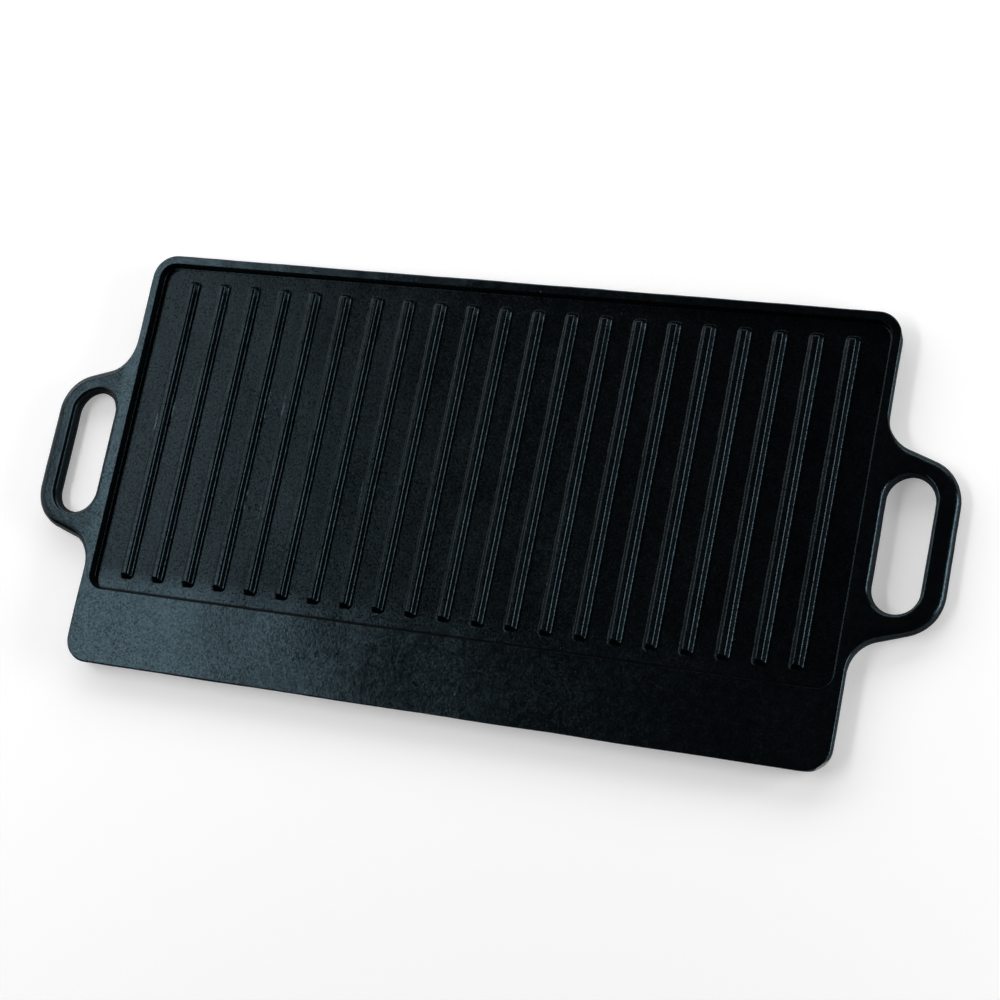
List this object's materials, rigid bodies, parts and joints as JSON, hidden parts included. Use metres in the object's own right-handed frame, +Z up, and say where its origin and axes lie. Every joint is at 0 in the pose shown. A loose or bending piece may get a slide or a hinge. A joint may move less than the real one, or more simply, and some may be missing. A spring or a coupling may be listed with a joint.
{
  "type": "camp griddle plate",
  "caption": "Flat rectangular cast-iron griddle plate with a recessed ribbed cooking face, a wide smooth ledge along the front and loop handles at the ends.",
  "frame": {"origin": "on the flat underside, in the middle of the bounding box", "axes": "+X along the length from the left to the right handle, +Y from the wide ledge to the back rim, +Z up out of the ribbed face"},
  "size_m": [0.5056, 0.2318, 0.0105],
  "materials": {
    "seasoned_iron": "oil-seasoned, satin, with a fine sand-cast grain"
  },
  "bodies": {
    "root": {"bed": "seasoned_iron", "back_rim": "seasoned_iron", "left_rim": "seasoned_iron", "right_rim": "seasoned_iron", "front_ledge": "seasoned_iron", "left_handle": "seasoned_iron", "right_handle": "seasoned_iron", "rib_01": "seasoned_iron", "rib_02": "seasoned_iron", "rib_03": "seasoned_iron", "rib_04": "seasoned_iron", "rib_05": "seasoned_iron", "rib_06": "seasoned_iron", "rib_07": "seasoned_iron", "rib_08": "seasoned_iron", "rib_09": "seasoned_iron", "rib_10": "seasoned_iron", "rib_11": "seasoned_iron", "rib_12": "seasoned_iron", "rib_13": "seasoned_iron", "rib_14": "seasoned_iron", "rib_15": "seasoned_iron", "rib_16": "seasoned_iron", "rib_17": "seasoned_iron", "rib_18": "seasoned_iron", "rib_19": "seasoned_iron", "rib_20": "seasoned_iron", "rib_21": "seasoned_iron"}
  },
  "joints": []
}
